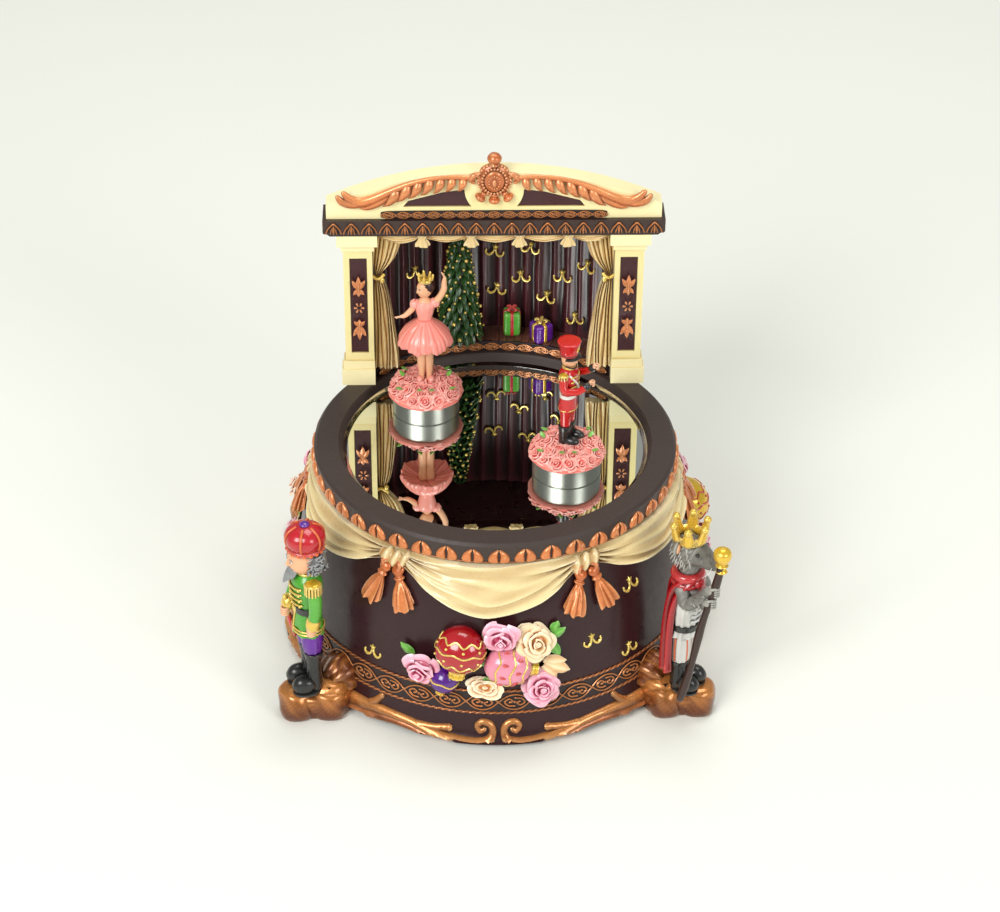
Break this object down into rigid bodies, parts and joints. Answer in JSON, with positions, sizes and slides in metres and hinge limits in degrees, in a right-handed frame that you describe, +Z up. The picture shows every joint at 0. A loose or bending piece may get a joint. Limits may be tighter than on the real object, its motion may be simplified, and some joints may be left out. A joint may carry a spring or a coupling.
{
  "type": "musical ballet theatre box",
  "caption": "Theatre-shaped music box: a mirror stage on a round drum, a curtained alcove behind it, and dancers turned by magnets from a spring movement below.",
  "frame": {"origin": "the drum's vertical axis at table level, under the rim and feet", "axes": "+Z up, +Y towards the back of the stage, +X to the audience's right"},
  "size_m": [0.1321, 0.1322, 0.1455],
  "materials": {
    "plum_resin": "satin dark plum paint",
    "dark_resin": "satin dark brown paint",
    "alcove_maroon": "satin maroon paint",
    "cream_resin": "satin cream paint",
    "copper_paint": "metallic copper paint with dark wash",
    "cream_drape": "pearl cream paint with ochre wash",
    "gold_paint": "metallic gold paint",
    "figure_paint": "gloss paint in several colours",
    "mouse_paint": "gloss paint in several colours",
    "staff_paint": "dark brown paint with a gold ball",
    "rose_paint": "pink pearl paint",
    "ornament_paint": "metallic red and purple paint",
    "leaf_paint": "green paint",
    "gift_green_paint": "green metallic paint",
    "gift_purple_paint": "purple metallic paint",
    "dress_pink": "pink satin paint",
    "uniform_red": "red gloss paint",
    "mirror_glass": "silvered glass",
    "magnet_grey": "grey glossy plated",
    "cover_plastic": "black moulded plastic",
    "zinc_plate": "die-cast zinc grey",
    "bright_steel": "plated steel",
    "brass_work": "brass",
    "gear_plastic": "white moulded plastic"
  },
  "bodies": {
    "base": {"acanthus_scrolls": "copper_paint", "barrel_bridge": "zinc_plate", "bedplate": "zinc_plate", "bezel_leaves": "copper_paint", "bottom_cover": "cover_plastic", "bouquet_leaves": "leaf_paint", "cartouche": "copper_paint", "comb": "bright_steel", "corner_feet": "copper_paint", "cornice": "dark_resin", "cornice_leaves": "copper_paint", "cover_screws": "bright_steel", "crowned_mouse": "mouse_paint", "curtains": "cream_drape", "cylinder_bearings": "zinc_plate", "drum_shell": "plum_resin", "filigree_band": "copper_paint", "frieze_band": "copper_paint", "gold_stars": "gold_paint", "governor_frame": "zinc_plate", "green_gift": "gift_green_paint", "guard_doll": "figure_paint", "left_pilaster": "cream_resin", "mirror": "mirror_glass", "mirror_bezel": "dark_resin", "mouse_staff": "staff_paint", "movement_screws": "bright_steel", "ornaments": "ornament_paint", "pediment": "cream_resin", "plum_inlays": "plum_resin", "purple_gift": "gift_purple_paint", "right_pilaster": "cream_resin", "riser_band": "copper_paint", "rope_bands": "copper_paint", "roses": "rose_paint", "scroll_trim": "copper_paint", "stage_floor": "dark_resin", "stage_wall": "alcove_maroon", "sun_gear": "gear_plastic", "swag_knots": "cream_drape", "swags": "cream_drape", "tassels": "copper_paint", "tree": "leaf_paint", "valance": "cream_drape"},
    "turntable": {"spring_barrel": "brass_work", "mainspring": "bright_steel", "carrier": "gear_plastic"},
    "ballerina_drive": {"ballerina_planet": "gear_plastic", "ballerina_drive_magnet": "magnet_grey"},
    "soldier_drive": {"soldier_planet": "gear_plastic", "soldier_drive_magnet": "magnet_grey"},
    "ballerina": {"ballerina_disc": "magnet_grey", "ballerina_base": "rose_paint", "ballerina_figure": "dress_pink"},
    "soldier": {"soldier_disc": "magnet_grey", "soldier_base": "rose_paint", "soldier_figure": "uniform_red"},
    "cylinder": {"pin_cylinder": "brass_work"},
    "governor": {"governor_fan": "gear_plastic"},
    "key": {"winding_key": "bright_steel"}
  },
  "joints": [
    {"name": "turntable_turn", "type": "hinge", "parent": "base", "child": "turntable", "pos_m": [0, 0, 0.04], "axis": [0, 0, 1], "continuous": true},
    {"name": "ballerina_spin", "type": "hinge", "parent": "turntable", "child": "ballerina_drive", "pos_m": [-0.02038, 0.02063, 0.048], "axis": [0, 0, 1], "continuous": true},
    {"name": "soldier_spin", "type": "hinge", "parent": "turntable", "child": "soldier_drive", "pos_m": [0.02061, -0.0123, 0.048], "axis": [0, 0, 1], "continuous": true},
    {"name": "ballerina_lift", "type": "slide", "parent": "ballerina_drive", "child": "ballerina", "axis": [0, 0, 1], "range_m": [0, 0.008]},
    {"name": "soldier_lift", "type": "slide", "parent": "soldier_drive", "child": "soldier", "axis": [0, 0, 1], "range_m": [0, 0.008]},
    {"name": "cylinder_turn", "type": "hinge", "parent": "base", "child": "cylinder", "pos_m": [0.03, 0, 0.0363], "axis": [1, 0, 0], "continuous": true},
    {"name": "governor_spin", "type": "hinge", "parent": "base", "child": "governor", "pos_m": [-0.018, 0, 0.03], "axis": [0, 0, 1], "continuous": true},
    {"name": "key_wind", "type": "hinge", "parent": "base", "child": "key", "pos_m": [0, 0, 0.012], "axis": [0, 0, 1], "range_deg": [0, 1440]}
  ],
  "couplings": [
    {"joint": "ballerina_spin", "follows": "turntable_turn", "ratio": 0.70588},
    {"joint": "soldier_spin", "follows": "turntable_turn", "ratio": 1},
    {"joint": "cylinder_turn", "follows": "turntable_turn", "ratio": 4},
    {"joint": "governor_spin", "follows": "turntable_turn", "ratio": -5}
  ]
}
